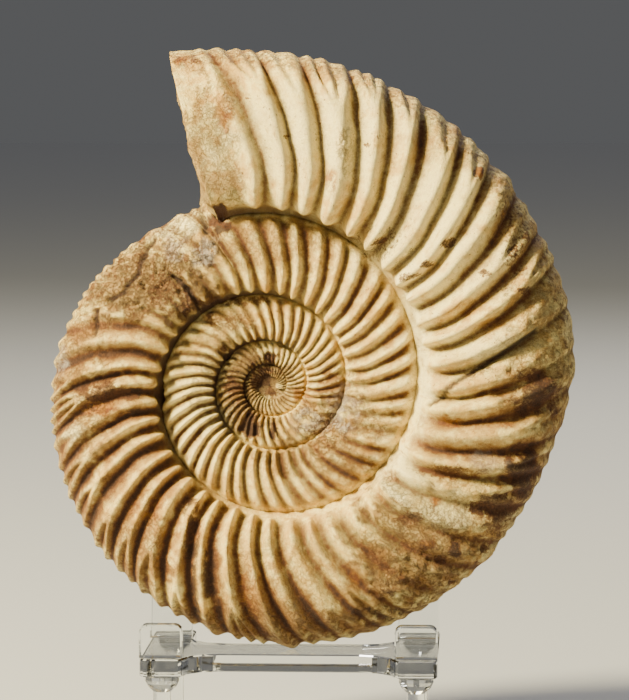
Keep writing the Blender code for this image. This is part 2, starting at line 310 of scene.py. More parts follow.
# How far the ribs run ahead of an even count: turn, ribs.
RIB_DRIFT = (
    (0.0, 0.0), (0.17, 0.0), (0.30, 0.35), (0.63, 0.5), (0.82, 0.3), (0.87, 0.0), (1.0, 0.0),
    (1.3, -0.26), (1.6, -0.4), (1.72, 0.0), (1.85, 0.43), (2.3, 0.8), (4.0, 0.75),
)


def by_turn(turn, table):
    """Reads a short table of (turn, value) pairs, evenly in between."""
    places, values = zip(*table)
    return np.interp(turn, places, values)


def rib_number(turn):
    counted = FIRST_RIB + RIBS_PER_TURN * turn - RIBS_PER_TURN_LOSS * turn**2
    return counted + by_turn(turn, RIB_DRIFT)


print("ribs on the last turn:", round(float(rib_number(1.0) - rib_number(0.0)), 1))

# %% How the ribs lie
MOUTH_ANGLE = math.radians(106.8)
RIB_SWEEP = math.radians(10.0)
RIB_SWEEP_FROM = 0.22
RIB_SWEEP_POWER = 1.5
RIB_HOOK = math.radians(0.9)
RIB_HOOK_END = 0.44
LIP_SLANT = math.radians(0.2)
LIP_FAN_TURNS = 0.055
# Between these turns from the mouth the next turn begins to lie over the shell.
NEXT_TURN_STARTS = (0.997, 1.004)


def rib_sweep(share):
    ahead = np.clip((share - RIB_SWEEP_FROM) / (1.0 - RIB_SWEEP_FROM), 0.0, 1.0)
    hook = np.sin(math.pi * np.clip(share / RIB_HOOK_END, 0.0, 1.0))
    return RIB_SWEEP * ahead**RIB_SWEEP_POWER - RIB_HOOK * hook


def growth_angle(turn, share):
    """The angle round the coil: along a rib, but along the slanting lip at the mouth."""
    swept = np.clip(turn / LIP_FAN_TURNS, 0.0, 1.0)
    lip = LIP_SLANT * (1.0 - share)
    return MOUTH_ANGLE - 2 * math.pi * turn + swept * rib_sweep(share) + (1.0 - swept) * lip


def under_next(angle):
    """1 where the next turn lies over the shell, 0 in front of the broken mouth."""
    return smooth((MOUTH_ANGLE - angle) / (2 * math.pi), *NEXT_TURN_STARTS)


# %% [markdown]
# A power of a cosine makes a crest broad or narrow, and a bend in the phase makes one side of it
# steeper. Which side that is changes round the coil. Parting is one wave that becomes two or
# three, each narrower, which move away from each other. Small differences from rib to rib keep it
# from looking turned on a lathe.

# %% The wave of one rib
# The count swings a little: by how many ribs, and how quickly from rib to rib.
COUNT_SWINGS = ((0.06, 2.3), (0.03, 5.1))


def chance(number, salt):
    """A fixed random value from 0 to 1 for each whole number."""
    mixed = np.sin(number * 12.9898 + salt * 78.233) * 43758.5453
    return mixed - np.floor(mixed)


def rib_phase(share, angle):
    """The running number of a place, the nearest rib, and how far away its crest is."""
    counted = rib_number((MOUTH_ANGLE + rib_sweep(share) - angle) / (2 * math.pi))
    number = counted
    for swing, quickness in COUNT_SWINGS:
        number = number + swing * np.sin(quickness * counted)
    nearest = np.round(number)
    return number, nearest, number - nearest


def wave(across, power, steep):
    """One rib, 1 at its crest and 0 from half a spacing away."""
    inside = np.clip(across, -0.5, 0.5)
    bent = inside + steep * np.cos(math.pi * inside) ** 2
    return (0.5 + 0.5 * np.cos(2 * math.pi * bent)) ** power


# %% Where and how a rib parts
# The power of the cosine, by turn: low powers give broad crests, high ones narrow crests.
CREST_POWERS = (
    (0.0, 0.7), (0.10, 0.65), (0.20, 0.66), (0.32, 0.72), (0.42, 0.95), (0.60, 1.05),
    (0.80, 1.05), (0.95, 1.0), (1.2, 1.0), (1.5, 1.15), (4.0, 1.2),
)
CREST_SCATTER = 0.3
# Near the seam a crest is narrower: by how much, and from which to which share of the flank.
SEAM_NARROWING = 0.35
SEAM_NARROW_SHARES = (0.05, 0.35)
# How far a crest is bent to one side, and the angle round the coil where it is bent most.
STEEP_SIDE = 0.13
STEEP_SIDE_ANGLE = math.radians(231.0)
# Where the ribs part, as a share of the flank, by turn: further in the next turn hides it.
FORKS_FROM = (
    (0.0, 0.62), (0.08, 0.64), (0.15, 0.68), (0.35, 0.66), (0.5, 0.60), (0.75, 0.64),
    (0.95, 0.66), (1.10, 0.78), (4.0, 0.80),
)
FORK_SCATTER = 0.18
FORK_LENGTH = 0.28
# How far the parts move from the rib's own middle where there are two, and where there are three.
FORK_SPREADS = (0.25, 0.33)
# How deep the valleys between the parts are, by turn: the rest is filled by the whole rib.
FORK_DEPTHS = ((0.0, 0.60), (0.3, 0.60), (0.5, 0.85), (4.0, 0.85))
WHOLE_POWER = 0.7
# The shares of ribs that don't part, and of those that part in three.
UNFORKED = 0.12
THREE_PARTED = 0.4


def parting(turn, share, nearest):
    """How far a rib has parted, from 0 to 1, and whether it parts in three."""
    start = by_turn(turn, FORKS_FROM) + FORK_SCATTER * (chance(nearest, 1) - 0.5)
    forks = chance(nearest, 3) > UNFORKED
    forked = smooth(share, start, start + FORK_LENGTH) * forks
    return forked, chance(nearest, 5) < THREE_PARTED


def rib_wave(turn, share, angle, nearest, across):
    """From 0 in a valley to 1 on a crest, and how far the rib has parted."""
    forked, thrice = parting(turn, share, nearest)
    spread = np.where(thrice, FORK_SPREADS[1], FORK_SPREADS[0]) * forked
    parts = 1.0 + (1.0 + thrice) * forked
    power = by_turn(turn, CREST_POWERS) * (1.0 + CREST_SCATTER * (chance(nearest, 4) - 0.5))
    widening = SEAM_NARROWING * smooth(share, *SEAM_NARROW_SHARES)
    power = power * (1.0 + SEAM_NARROWING - widening)
    steep = STEEP_SIDE * np.cos(angle - STEEP_SIDE_ANGLE)
    one = wave((across - spread) * parts, power, steep)
    other = wave((across + spread) * parts, power, steep)
    between = np.where(thrice, wave(across * parts, power, steep), 0.0)
    whole = wave(across, WHOLE_POWER * power, steep)
    crest = np.maximum(np.maximum(one, other), between)
    crest = crest + (1.0 - by_turn(turn, FORK_DEPTHS)) * forked * (whole - crest)
    return crest, forked


# %% [markdown]
# A rib isn't equally high along its way. It rises from the seam, loses height where it parts,
# fades towards the middle of the rim, and lies down where the next turn covers it. Next to the
# broken mouth the ribs are only faint.

# %% How high a rib is
# A rib's height as a share of the flank, by turn.
RIB_HEIGHTS = (
    (0.0, 0.070), (0.10, 0.090), (0.30, 0.090), (0.5, 0.076), (1.0, 0.072), (1.4, 0.076),
    (2.2, 0.082), (3.0, 0.080),
)
HEIGHT_SCATTER = 0.24
FORKED_HEIGHT = 0.70
# What is left of it at the middle of the rim, by turn: the right side is worn smooth.
RIM_RIBS = (
    (0.0, 0.50), (0.2, 0.45), (0.33, 0.25), (0.5, 0.32), (0.6, 0.70), (0.85, 0.75), (1.0, 0.5),
    (4.0, 0.5),
)
RIM_FROM = 0.80
# Where the ribs begin, as a share of the flank, by turn.
RIB_STARTS = ((0.0, 0.03), (0.18, 0.04), (0.30, 0.15), (0.46, 0.13), (0.58, 0.02), (4.0, 0.01))
START_LOW, START_HIGH, START_REACH = 0.4, 1.3, 0.06
LIP_RIBS = 0.10
LIP_FADE_TURNS = (0.014, 0.044)
COVERED_FADE = 0.8
# How far in front of the next turn's seam they lie down, as shares of the flank.
COVERED_FADE_SHARES = (0.13, 0.01)


def rib_begun(turn, share, angle):
    """How far a rib has risen, from 0 to 1: less at the seam, at the lip and under a turn."""
    start = by_turn(turn, RIB_STARTS)
    begun = smooth(share, START_LOW * start, START_HIGH * start + START_REACH)
    begun = begun * (LIP_RIBS + (1.0 - LIP_RIBS) * smooth(turn, *LIP_FADE_TURNS))
    cover = covered_from(turn)
    first, last = COVERED_FADE_SHARES
    lying = smooth(share, cover - first, cover - last)
    return begun * (1.0 - COVERED_FADE * under_next(angle) * lying)


def rib_height(turn, share, nearest, forked, begun):
    strength = 1.0 + HEIGHT_SCATTER * (chance(nearest, 2) - 0.5)
    strength = strength * (1.0 + (FORKED_HEIGHT - 1.0) * forked)
    at_rim = (1.0 - by_turn(turn, RIM_RIBS)) * smooth(share, RIM_FROM, 1.0)
    strength = strength * (1.0 - at_rim)
    return by_turn(turn, RIB_HEIGHTS) * flank_height(turn) * strength * begun


# %% [markdown]
# ## Wear, cracks and crusts
#
# Stone is never even. Broad noise bends the surface a little, fine noise makes it rough, and some
# places are worn, crusted or broken. A place is an ellipse in the plane of the coil, with its
# middle, its two half sizes and a strength. Noise breaks up its edge. The same places steer the
# colours later, so each is kept as a value on the mesh's points.

# %% Two kinds of noise
FINER_WEAKER, FINER_BY = 0.8, 2.1


def wobble(points, size, salt=0.0):
    """Noise from about -1 to 1 with hills of that size. It takes an array of points."""
    scaled = points / size + salt
    return np.array([noise.noise(point) for point in scaled.tolist()])


def rugged(points, size, octaves, salt=0.0):
    """Noise with ever finer and weaker noise on top of it."""
    scaled = points / size + salt
    return np.array([noise.fractal(point, FINER_WEAKER, FINER_BY, octaves) for point in scaled.tolist()])


# %% Worn, crusted and hollow places
# Each place: x and z from the coil's middle, half sizes along x and z, in mm, and a strength.
WORN = (
    (-30, 26, 12, 9, 1.0), (-24, 36, 9, 6, 0.7), (-33, 29, 9, 8, 0.8), (-44, 20, 8, 10, 0.6),
    (62, 0, 8, 8, 0.5), (44, -32, 11, 7, 0.45), (36, -46, 13, 8, 0.6), (22, -9, 7, 7, 0.6),
    (13, -10, 7, 6, 1.0), (18, -1, 5, 6, 0.6), (-3, 8, 6, 4, 0.4), (-13, 15, 10, 6, 0.4),
    (66, 8, 5, 16, 0.5), (-55, 12, 4, 12, 0.5),
)
CRUST = (
    (-27, 25, 12, 8, 1.0), (48, -40, 10, 7, 0.6), (34, -49, 10, 5, 0.6), (-15, 31, 4, 4, 1.0),
    (-30, 24, 6, 5, 0.6), (-16, 42, 3, 4, 0.6), (68, 4, 3, 10, 0.6), (19, 55, 2, 5, 0.6),
    (14, -12, 6, 4, 0.5), (40, -44, 10, 7, 0.8), (56, 44, 3.5, 10, 0.6), (64, 24, 3, 8, 0.5),
    (46, 56, 6, 3, 0.5),
)
# Hollows have a depth in mm in place of the strength.
HOLLOWS = (
    (-11.8, 39.4, 2.6, 3.2, 1.7), (-26.4, -1.5, 2.2, 3.0, 0.9), (-4.4, -10.4, 1.8, 2.4, 0.6),
    (0.3, 6.4, 1.3, 1.5, 0.6), (-1.6, 1.2, 2.2, 2.6, 0.7), (-10.5, 8.0, 1.2, 1.6, 0.5),
)
print("worn:", len(WORN), "crusted:", len(CRUST), "hollow:", len(HOLLOWS))

# %% Stained places: iron rust, dark valleys that are partly painted shade, and specks
IRON = (
    (4, -54, 26, 8, 0.8), (-50, -22, 10, 20, 0.9), (-30, -36, 14, 12, 0.9),
    (-30, -24, 12, 16, 0.8), (46, -14, 12, 8, 0.8), (44, -41, 15, 9, 0.55), (-36, -4, 12, 8, 1.0),
    (-43, -33, 9, 10, 0.9), (-46, 6, 8, 10, 0.8), (-16, -42, 8, 12, 0.9), (3, -51, 16, 9, 0.6),
    (28, -46, 14, 9, 0.7), (60, -4, 10, 9, 0.9), (48, -10, 12, 3, 0.8), (61, -20, 8, 9, 1.0),
    (16, -1, 4, 5, 1.0), (20, -18, 12, 8, 0.7), (58, 38, 9, 15, 0.6), (42, 56, 12, 6, 0.6),
    (-10, 77, 8, 3, 0.9), (12, 74, 14, 3, 0.6), (-35, 10, 9, 7, 0.8), (0, 34, 22, 6, 0.4),
    (24, 22, 8, 8, 0.6), (32, 6, 4, 14, 0.6), (-50, 18, 6, 10, 0.6), (54, 20, 8, 10, 0.5),
    (-24, -18, 10, 10, 0.4),
)
# Near black places: partly a dark stain, partly painted shade in hollows of the inner turns and at the
# seam on the left.
DARK = (
    (-2, 2, 4.0, 4.0, 0.5), (-9, -2, 4, 5, 0.6), (-2, 8, 3, 2, 0.5), (-37, -2, 8, 2, 1.0),
    (-36, -6, 6, 1, 0.8), (-18, -33, 2, 4, 1.0), (-4.6, -10.8, 2, 3, 1.0),
    (1.6, -12, 1.2, 2.4, 0.9), (-9, -2, 3, 3, 0.5), (63, -2, 5, 5, 1.0), (60, -21, 5, 6, 1.0),
    (53, -28, 5, 4, 0.9), (-15, -45, 2.6, 10, 0.9), (57, 36, 4, 12, 0.3), (-43, -40, 5, 6, 0.6),
    (29, -54, 8, 3, 0.7), (52, 3, 8, 2, 0.6), (26, 33, 8, 5, 0.5),
)
# The first spot is painted shade under the mouth's foot; the others are specks in the stone.
SPOTS = (
    (-11, 39, 2.6, 2.2, 1.0), (-19, 30, 1.3, 1.1, 0.9), (-19, 22, 0.8, 1.8, 0.9),
    (-20, 18, 1.0, 1.3, 0.9), (0.4, 6.4, 1.1, 1.0, 0.9), (-11, 9, 0.8, 0.7, 0.8),
    (44, -38, 1.4, 1.6, 1.0), (41, -40, 1.5, 1.3, 0.9), (51, -38, 1.5, 1.2, 0.9),
    (50, -41, 2.0, 0.8, 1.0), (39, -50, 1.1, 0.6, 0.8), (43, -46, 0.8, 0.9, 0.8),
    (33, -54, 1.4, 0.9, 0.8), (-17, 76, 1.3, 0.8, 0.8), (28, 35, 1.6, 1.0, 0.9),
    (39, 29, 1.4, 1.2, 0.9), (43, 33, 1.8, 1.4, 0.9), (36, 27, 2.2, 0.9, 0.8),
    (51, 26, 1.8, 1.0, 0.8), (57, 31, 1.4, 1.8, 0.8), (24, 56, 1.8, 0.9, 0.7),
    (49, 49, 1.2, 1.6, 0.9), (5, 58, 0.9, 0.7, 0.8), (8, 52, 0.6, 1.2, 0.8),
    (-4, 67, 1.2, 0.7, 0.7), (60, 22, 2.4, 1.0, 0.8), (23.5, -55, 1.6, 0.9, 0.8),
)

# %% Stained places: orange, lilac, pale, and darker places that are partly dull stone and grime, partly painted shade
ORANGE = (
    (-21, 76, 2.2, 1.7, 1.0), (-9, 63, 2.0, 3.2, 0.9), (16, 49, 1.5, 2.4, 0.8),
    (49, 49, 0.9, 1.4, 1.0), (55, 41, 0.9, 1.6, 0.9), (41, 57, 0.8, 1.0, 0.8),
    (60, 33, 0.8, 2.0, 0.8), (-39, -6, 4.5, 1.6, 1.0), (44, -8, 3.0, 1.6, 0.9),
    (56, -9, 1.9, 1.0, 0.8), (8, -3, 2.6, 2.0, 0.8), (38, -37, 1.7, 1.5, 0.8),
    (-42, 24, 1.0, 1.2, 1.0), (40, -27, 1.6, 1.2, 1.0), (21, -45.5, 1.4, 2.0, 0.9),
    (28, -26, 1.4, 1.6, 0.7), (-4, -50, 3, 6, 0.5), (-28, -30, 5, 3, 0.5), (-34, 36, 4, 3, 0.5),
)
LILAC = (
    (10, -9, 4.5, 2.8, 0.8), (18, -6, 3.2, 5.0, 0.9), (-15, 31, 3.2, 3.4, 0.9),
    (-49, 6, 2.6, 3.2, 0.7), (51, -18, 3.6, 2.4, 0.4), (-22, 32, 3, 3, 0.6),
)
PALE = (
    (36, 8, 5, 24, 1.0), (33, -20, 5, 9, 1.0), (26, 30, 8, 6, 0.5), (-32, 45, 10, 3, 0.9),
    (-22, 38, 7, 3.2, 1.0), (35, 5, 4, 20, 0.9), (30, -17, 5, 7, 0.9), (67, -22, 2.0, 8, 1.0),
    (71, 13, 2, 4, 0.8), (42, -29, 6, 5, 0.6), (60, -33, 4, 4, 0.7), (-46, -11, 3, 3, 0.8),
    (48, 25, 10, 5, 0.6), (44, 40, 9, 14, 0.6), (52, 28, 8, 6, 0.6), (12, 58, 22, 12, 0.7),
    (36, 42, 10, 12, 0.6), (50, 10, 10, 4, 0.6), (-18, -8, 7, 12, 0.6),
)
# Darker places: partly dull stone, partly painted shade along the bottom, on the lower right and in the
# middle of the coil, which lie away from the main light.
DULL_AND_SHADE = (
    (-13, 56, 8, 15, 0.6), (-48, -6, 13, 32, 0.6), (-8, 48, 4, 6, 0.5), (8, -48, 26, 12, 0.4),
    (-6, 0, 12, 12, 0.7), (-28, 24, 15, 9, 1.0), (42, -46, 18, 9, 0.55), (35, -38, 16, 14, 0.8),
    (50, -26, 10, 12, 0.45), (-4, -57, 40, 7, 0.8), (-34, -40, 14, 12, 0.55),
    (56, -30, 6, 8, 0.5), (-27, 22, 14, 9, 0.5), (-3, 2, 8, 8, 0.8), (19, -8, 8, 11, 0.5),
    (-4, 33, 24, 6, 0.5), (12, -17, 14, 5, 0.6), (-40, -40, 10, 10, 0.5), (62, 8, 8, 20, 0.5),
    (-14, 15, 9, 6, 0.3), (66, -6, 6, 12, 0.6),
)
# Dark brown places: partly grime, partly painted shade in hollows, under the mouth's foot, in the middle
# of the coil and on the lower right.
GRIME_AND_SHADE = (
    (-1.8, 2.2, 2.6, 3.0, 0.62), (0.4, 6.8, 1.3, 1.5, 0.8), (-11.6, 40.4, 2.3, 3.0, 1.8),
    (-10.8, 37.5, 2.2, 1.9, 1.8), (54.0, -32.0, 5, 6, 0.45), (-9, 15, 6, 2, 0.4),
    (-38, -2, 6, 2.0, 0.7), (-4.4, -10.3, 2.1, 2.6, 1.1), (1.0, -11.6, 1.0, 2.0, 0.9),
    (-9, -1, 2.6, 3.0, 0.7), (-12, 20, 14, 1.4, 0.5), (-17, -33, 2, 3.0, 0.9),
    (63, -2, 5, 4.5, 0.95), (60, -21, 4, 5.5, 1.0), (53, -28, 5, 3, 0.75), (45, -20, 7, 1.6, 0.5),
    (58, 33, 3, 10, 0.35), (-24, 22, 4, 6, 0.4), (38, -37, 2.2, 1.8, 0.8),
    (34, -31, 3.4, 1.4, 0.6), (29, -48, 1.8, 1.6, 0.7), (37, -52, 3, 0.9, 0.7),
)
# All marked places, some of them partly painted shade.
STAINS_AND_SHADE = {
    "iron": IRON, "dark": DARK, "spot": SPOTS, "orange": ORANGE, "lilac": LILAC, "pale": PALE,
    "dull_and_shade": DULL_AND_SHADE, "grime_and_shade": GRIME_AND_SHADE,
}
print("stained places:", {name: len(places) for name, places in STAINS_AND_SHADE.items()})

# %% Cracks
# Cracks are lines of x and z from the coil's middle, in mm.
CRACKS = (
    ((-26.9, 34.5), (-28.5, 32.6), (-28.6, 30.7), (-30.0, 29.0), (-30.2, 26.0), (-32.8, 23.8),
     (-33.5, 21.7), (-36.9, 20.0)),
    ((-40.4, 17.2), (-40.2, 11.7)),
    ((-16.2, 40.9), (-14.5, 35.7)),
    ((63.0, 12.9), (54.4, 6.9), (46.1, 1.2), (44.4, -1.1), (40.6, -4.5)),
    ((-22.0, 25.5), (-18.5, 22.5), (-17.0, 18.5)),
)
PEELED_EDGE = ((61.1, 6.2), (63.9, 5.0), (63.0, 2.7), (55.4, 1.2), (51.3, 0.3))
print("cracks:", len(CRACKS))

# %% [markdown]
# A place becomes a value from 0 to 1 at each point of the mesh. The back of the shell uses the
# same list, turned by an angle, so that it gets a pattern of its own. Front and back meet on the
# rim, and there the two are blended.

# %% From places to values
FRONT, BACK = -1.0, 1.0
BACK_PLACES_TURNED = math.radians(140.0)
# A place fades between these shares of its half sizes.
PLACE_EDGE = (0.6, 1.35)
RIM_BLEND_FROM = 0.92


def shell_plane(points, side):
    """x and z of points. On the back they are turned, so the back has its own pattern."""
    x, z = points[:, 0], points[:, 2]
    if side == BACK:
        cos, sin = math.cos(BACK_PLACES_TURNED), math.sin(BACK_PLACES_TURNED)
        x, z = cos * x + sin * z, cos * z - sin * x
    return x, z


def places_mask(points, side, places, ragged):
    """How strongly a list of places shows at each point, from 0 to 1."""
    x, z = shell_plane(points, side)
    mask = np.zeros(len(points))
    for place_x, place_z, half_x, half_z, strength in places:
        away = np.hypot((x - place_x * MM) / (half_x * MM), (z - place_z * MM) / (half_z * MM))
        mask = np.maximum(mask, strength * (1.0 - smooth(away + ragged, *PLACE_EDGE)))
    return mask


def line_distance(points, side, line):
    """The distance of each point from a line of corners, in the plane of the coil."""
    x, z = shell_plane(points, side)
    nearest = np.full(len(points), 1.0)
    for (from_x, from_z), (to_x, to_z) in zip(line, line[1:]):
        run_x, run_z = (to_x - from_x) * MM, (to_z - from_z) * MM
        past_x, past_z = x - from_x * MM, z - from_z * MM
        along = np.clip((past_x * run_x + past_z * run_z) / (run_x**2 + run_z**2), 0.0, 1.0)
        nearest = np.minimum(nearest, np.hypot(past_x - along * run_x, past_z - along * run_z))
    return nearest


def line_mask(points, side, line, core, edge):
    """1 on a line and 0 from the edge distance on."""
    return 1.0 - smooth(line_distance(points, side, line), core, edge)


def over_the_rim(side, share, measure):
    """A value that differs from front to back, blended where the two meet on the rim."""
    own, other = measure(side), measure(-side)
    return own + 0.5 * smooth(share, RIM_BLEND_FROM, 1.0) * (other - own)


# %% [markdown]
# ## The surface
#
# The skin function gives the finished surface for any turn, height share and side: the smooth
# section, then the ribs, then the roughness, each pushed along the direction in which the surface
# looks. It also hands back what the stone material wants to know about each point.

# %% The smooth shell


def smooth_shell(turn, share, side):
    """The angle round the coil, the points of the smooth shell, and which way they look."""
    angle = growth_angle(turn, share)
    radius = seam_radius(turn) + share * flank_height(turn)
    width, outward, sideways = section(turn, share)
    depth = side * width * half_width(turn)
    cos, sin = np.cos(angle), np.sin(angle)
    base = np.stack([radius * cos, depth, radius * sin], axis=1)
    facing = np.stack([outward * cos, side * sideways, outward * sin], axis=1)
    return angle, base, facing


# %% Roughness
# Each kind of roughness: its height or depth, and the size of its grain.
WAVE_HEIGHT, WAVE_SIZE = 0.30 * MM, 9 * MM
GRAIN_HEIGHT, GRAIN_SIZE = 0.09 * MM, 1.8 * MM
PIT_DEPTH, PIT_SIZE = 0.10 * MM, 1.3 * MM
WORN_DEPTH, WORN_SIZE = 0.65 * MM, 2.6 * MM
CRUST_HEIGHT, CRUST_SIZE = 0.85 * MM, 1.3 * MM
CRUST_BASE = 0.30
PITS_FROM = (0.35, 0.6)
WORN_PEAKS = 0.30
# Full roughness on a flank of this height, and never less than this share of it.
FULL_FLANK = 34 * MM
LEAST_ROUGHNESS = 0.18


def roughness(base, turn, worn, crust):
    """How far waves, grain, pits, wear and crusts lift each point."""
    waves = WAVE_HEIGHT * wobble(base, WAVE_SIZE, 1.0)
    grain = GRAIN_HEIGHT * rugged(base, GRAIN_SIZE, 3, 2.0)
    pits = -PIT_DEPTH * smooth(wobble(base, PIT_SIZE, 6.0), *PITS_FROM)
    eaten = WORN_DEPTH * worn * np.clip(rugged(base, WORN_SIZE, 4, 3.0), -1.0, WORN_PEAKS)
    lumps = CRUST_HEIGHT * crust * (CRUST_BASE + rugged(base, CRUST_SIZE, 4, 4.0))
    scale = np.clip(flank_height(turn) / FULL_FLANK, LEAST_ROUGHNESS, 1.0)
    return scale * (waves + grain + pits + eaten + lumps)


# %% The skin
CRACK_WIDTH = 0.75 * MM
CRACK_DEPTH = 0.70 * MM
CRACK_SHARES = (0.35, 1.2)
PEEL_DEPTH = 0.65 * MM
PEEL_EDGE = (0.2 * MM, 1.1 * MM)
LINE_SHAKE = 0.5 * MM
# Two noises tear the edges of places: share, size and salt.
RAGGED = ((0.55, 4 * MM, 11.0), (0.45, 1.4 * MM, 18.0))
WORN_RIB_LOSS = 0.65
WORN_VALLEY_LOSS = 0.6
BARE_VALLEY = 0.30
VALLEY_POWER = 0.7
# A soft shoulder near the seam: its height as a share of the flank, its place and its end.
SHOULDER_HEIGHT = 0.060
SHOULDER_AT, SHOULDER_END = 0.13, 0.40


def skin(turn, share, side, rib_strength=1.0):
    """Points of the finished surface, and values for the material. It takes flat arrays."""
    angle, base, facing = smooth_shell(turn, share, side)
    ragged = sum(part * wobble(base, size, salt) for part, size, salt in RAGGED)
    shaken = base + (LINE_SHAKE * ragged)[:, None]

    def shown(places):
        return over_the_rim(side, share, lambda face: places_mask(base, face, places, ragged))

    def drawn(line, edge):
        return over_the_rim(side, share, lambda face: line_mask(shaken, face, line, *edge))

    worn, crust, hollow = shown(WORN), shown(CRUST), MM * shown(HOLLOWS)
    crack = np.zeros(len(base))
    for line in CRACKS:
        crack = np.maximum(crack, drawn(line, [CRACK_WIDTH * edge for edge in CRACK_SHARES]))
    peeled = PEEL_DEPTH * drawn(PEELED_EDGE, PEEL_EDGE)

    number, nearest, across = rib_phase(share, angle)
    crest, forked = rib_wave(turn, share, angle, nearest, across)
    begun = rib_begun(turn, share, angle)
    height = rib_height(turn, share, nearest, forked, begun)
    rib = rib_strength * crest * height * (1.0 - WORN_RIB_LOSS * worn)
    shoulder = smooth(share, 0.0, SHOULDER_AT) * (1.0 - smooth(share, SHOULDER_AT, SHOULDER_END))
    shoulder = SHOULDER_HEIGHT * flank_height(turn) * shoulder
    lift = rib + shoulder + roughness(base, turn, worn, crust)
    lift = lift + peeled - CRACK_DEPTH * crack - hollow
    points = base + facing * lift[:, None]

    ribbed = begun * (1.0 - WORN_VALLEY_LOSS * worn)
    valley = BARE_VALLEY + ribbed * (1.0 - crest**VALLEY_POWER - BARE_VALLEY)
    values = {"valley": valley, "worn": worn, "crust": crust, "share": share, "crack": crack}
    values["growth"] = number
    for name, places in STAINS_AND_SHADE.items():
        values[name] = shown(places)
    return points, facing, values


# %% [markdown]
# ## A tube with the section of the shell
#
# Blender's grid operator gives the faces. Each column of it becomes a growth line and each row a
# place on the section: from the seam in front over the rim to the seam behind, and on along the
# hidden inner side, which lies on the turn inside. So the grid closes to a tube, like the real
# shell.

# %% Growth lines and rows
FINE_STEPS = 4001
CLOSER_ROUNDS = 4


def growth_lines(start, end, lines_per_rib):
    """Turns from start to end, with that many lines to a rib."""
    count = round((rib_number(end) - rib_number(start)) * lines_per_rib)
    fine = np.linspace(start, end, FINE_STEPS)
    even = np.linspace(rib_number(start), rib_number(end), count + 1)
    return np.interp(even, rib_number(fine), fine)


def row_shares(turn, flank_rows, rim_rows):
    """Height shares from the seam to the middle of the rim: one line of them for each turn."""
    cover = covered_from(turn)[:, None]
    on_flank = cover * np.linspace(0.0, 1.0, flank_rows + 1)[None, :]
    reached = np.arcsin(((cover - WIDEST_AT) / (1.0 - WIDEST_AT)) ** (RIM_POWER_OUT / 2))
    steps = np.linspace(0.0, 1.0, rim_rows + 1)[None, 1:]
    bend = reached + (math.pi / 2 - reached) * steps
    on_rim = WIDEST_AT + (1.0 - WIDEST_AT) * np.sin(bend) ** (2 / RIM_POWER_OUT)
    return np.concatenate([on_flank, on_rim], axis=1)


def line_inside(turn):
    """The turn of the growth line, one turn further in, that meets this one's seam."""
    angle = growth_angle(turn, np.zeros_like(turn))
    inside = turn + 1.0
    for _ in range(CLOSER_ROUNDS):
        inside = (MOUTH_ANGLE + rib_sweep(covered_from(inside)) - angle) / (2 * math.pi) + 1.0
    return inside


print("ribs on the last two turns:", len(growth_lines(0.0, 2.0, 1)) - 1)

# %% [markdown]
# At the seam each turn rests on the one inside it, so its lowest rows are drawn onto that turn's
# own surface. There the seam is painted dark as painted shade, most of all on the upper left,
# which faces away from the main light.

# %% One side of a turn
SEAM_SINK = 0.25 * MM
SEAM_BLEND = 0.06
SEAM_LIFT = 0.030
# Painted shade along the seam: where it is full and how far it reaches, as shares of the flank, how far
# it reaches on the covered turn, the angle round the coil where it is strongest, and how much of it is
# everywhere and how much swings with that angle.
SEAM_SHADE = 0.10
SEAM_SHADE_FULL = 0.035
COVER_SHADE = 0.035
SHADED_SEAM_ANGLE = math.radians(140.0)
SEAM_SHADE_EVERYWHERE, SEAM_SHADE_SWING = 0.5, 0.6


def half_skin(turn, shares, side):
    """The skin of one side as arrays of lines by rows."""
    lines, rows = shares.shape
    flat_turn = np.repeat(turn, rows)
    points, _, values = skin(flat_turn, shares.ravel(), side)
    grid = points.reshape(lines, rows, 3)
    inside = line_inside(turn)
    cover = covered_from(inside)
    under, under_facing, _ = skin(inside, cover, side, 0.0)
    lift = SEAM_LIFT * flank_height(inside) - SEAM_SINK
    meeting = under + under_facing * lift[:, None]
    near = np.clip(1.0 - shares / SEAM_BLEND, 0.0, 1.0) ** 2
    grid += near[:, :, None] * (meeting - grid[:, 0])[:, None, :]
    seam = 1.0 - smooth(shares, SEAM_SHADE_FULL, SEAM_SHADE)
    covered = 1.0 - smooth(covered_from(turn)[:, None] - shares, 0.0, COVER_SHADE)
    # Painted shade: the seam and the covered edge of the turn inside are darkened, more where they face
    # away from the main light.
    dirt_and_shade = np.maximum(seam, covered * under_next(growth_angle(turn[:, None], shares)))
    upper_left = np.cos(growth_angle(turn, 0.0) - SHADED_SEAM_ANGLE)
    shadier = np.clip(SEAM_SHADE_EVERYWHERE + SEAM_SHADE_SWING * upper_left, 0.0, 1.0)
    values["seam"] = (dirt_and_shade * shadier[:, None]).ravel()
    return grid, {name: value.reshape(lines, rows) for name, value in values.items()}


# %% The hidden inner side
HIDDEN_ROWS = 6
HUB_DEPTH = 0.55


def hidden_side(turn, front_seam, back_seam, innermost):
    """Rows along the inner side, from the back seam to the front one, over the turn inside."""
    inside = line_inside(turn)
    cover = covered_from(inside)
    rows = []
    for step in range(1, HIDDEN_ROWS):
        along = step / HIDDEN_ROWS
        to_middle = abs(1.0 - 2.0 * along)
        share = cover + (1.0 - cover) * math.sin(math.pi * along)
        side = BACK if along < 0.5 else FRONT
        angle = growth_angle(inside, share)
        radius = seam_radius(inside) + share * flank_height(inside) - SEAM_SINK
        width, _, _ = section(inside, share)
        depth = side * width * half_width(inside) * (to_middle > 1e-6)
        row = np.stack([radius * np.cos(angle), depth, radius * np.sin(angle)], axis=1)
        hub = back_seam * (1.0 - along) + front_seam * along
        hub = hub * np.array([to_middle, HUB_DEPTH, to_middle])
        rows.append(np.where(innermost[:, None], hub, row))
    return np.stack(rows, axis=1)


